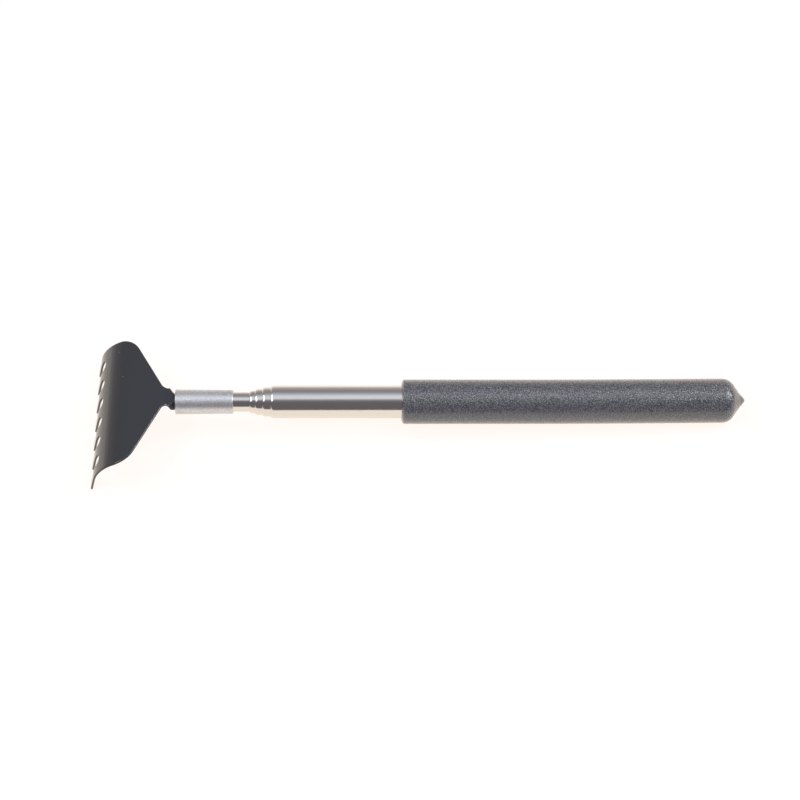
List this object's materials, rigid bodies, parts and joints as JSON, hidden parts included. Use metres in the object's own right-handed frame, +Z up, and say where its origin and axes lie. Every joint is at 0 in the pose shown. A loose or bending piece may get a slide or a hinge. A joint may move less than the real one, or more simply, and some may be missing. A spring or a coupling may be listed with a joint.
{
  "type": "telescopic back scratcher",
  "caption": "Telescopic scratcher: a black rake-like claw of curved tines on nested polished tubes, with a frosted ferrule and a soft grip closed to a blunt point.",
  "frame": {"origin": "middle of the collapsed tool's bounding box, on the plane that the tips of the tines and the rear of the grip rest on", "axes": "-X towards the claw and +X towards the end of the grip, +Y across the tines, +Z up off the surface it lies on"},
  "size_m": [0.1978, 0.045, 0.0173],
  "materials": {
    "black_paint": "satin",
    "frosted_aluminium": "satin",
    "polished_steel": "polished",
    "grained_rubber": "matte",
    "brass": "satin",
    "bronze": "satin",
    "plug_plastic": "matte"
  },
  "bodies": {
    "handle": {"outer_tube": "polished_steel", "end_plug": "plug_plastic", "grip": "grained_rubber"},
    "shells_4": {"friction_shell_4_upper": "bronze", "friction_shell_4_lower": "bronze"},
    "stage_4": {"fourth_tube": "polished_steel", "tail_bush_4": "brass"},
    "shells_3": {"friction_shell_3_upper": "bronze", "friction_shell_3_lower": "bronze"},
    "stage_3": {"third_tube": "polished_steel", "tail_bush_3": "brass"},
    "shells_2": {"friction_shell_2_upper": "bronze", "friction_shell_2_lower": "bronze"},
    "stage_2": {"second_tube": "polished_steel", "tail_bush_2": "brass"},
    "shells_1": {"friction_shell_1_upper": "bronze", "friction_shell_1_lower": "bronze"},
    "claw_head": {"inner_tube": "polished_steel", "tail_bush_1": "brass", "ferrule": "frosted_aluminium", "claw": "black_paint"}
  },
  "joints": [
    {"name": "fourth_tube_slide", "type": "slide", "parent": "handle", "child": "shells_4", "axis": [-0.9992, 0, 0.039], "range_m": [0, 0.12055]},
    {"name": "fourth_tube_twist", "type": "hinge", "parent": "shells_4", "child": "stage_4", "pos_m": [-0.04663, 0, 0.01219], "axis": [-0.9992, 0, 0.039], "continuous": true},
    {"name": "third_tube_slide", "type": "slide", "parent": "stage_4", "child": "shells_3", "axis": [-0.9992, 0, 0.039], "range_m": [0, 0.1136]},
    {"name": "third_tube_twist", "type": "hinge", "parent": "shells_3", "child": "stage_3", "pos_m": [-0.04903, 0, 0.01228], "axis": [-0.9992, 0, 0.039], "continuous": true},
    {"name": "second_tube_slide", "type": "slide", "parent": "stage_3", "child": "shells_2", "axis": [-0.9992, 0, 0.039], "range_m": [0, 0.1066]},
    {"name": "second_tube_twist", "type": "hinge", "parent": "shells_2", "child": "stage_2", "pos_m": [-0.05087, 0, 0.01235], "axis": [-0.9992, 0, 0.039], "continuous": true},
    {"name": "inner_tube_slide", "type": "slide", "parent": "stage_2", "child": "shells_1", "axis": [-0.9992, 0, 0.039], "range_m": [0, 0.09905]},
    {"name": "inner_tube_twist", "type": "hinge", "parent": "shells_1", "child": "claw_head", "pos_m": [-0.05087, 0, 0.01235], "axis": [-0.9992, 0, 0.039], "continuous": true}
  ]
}
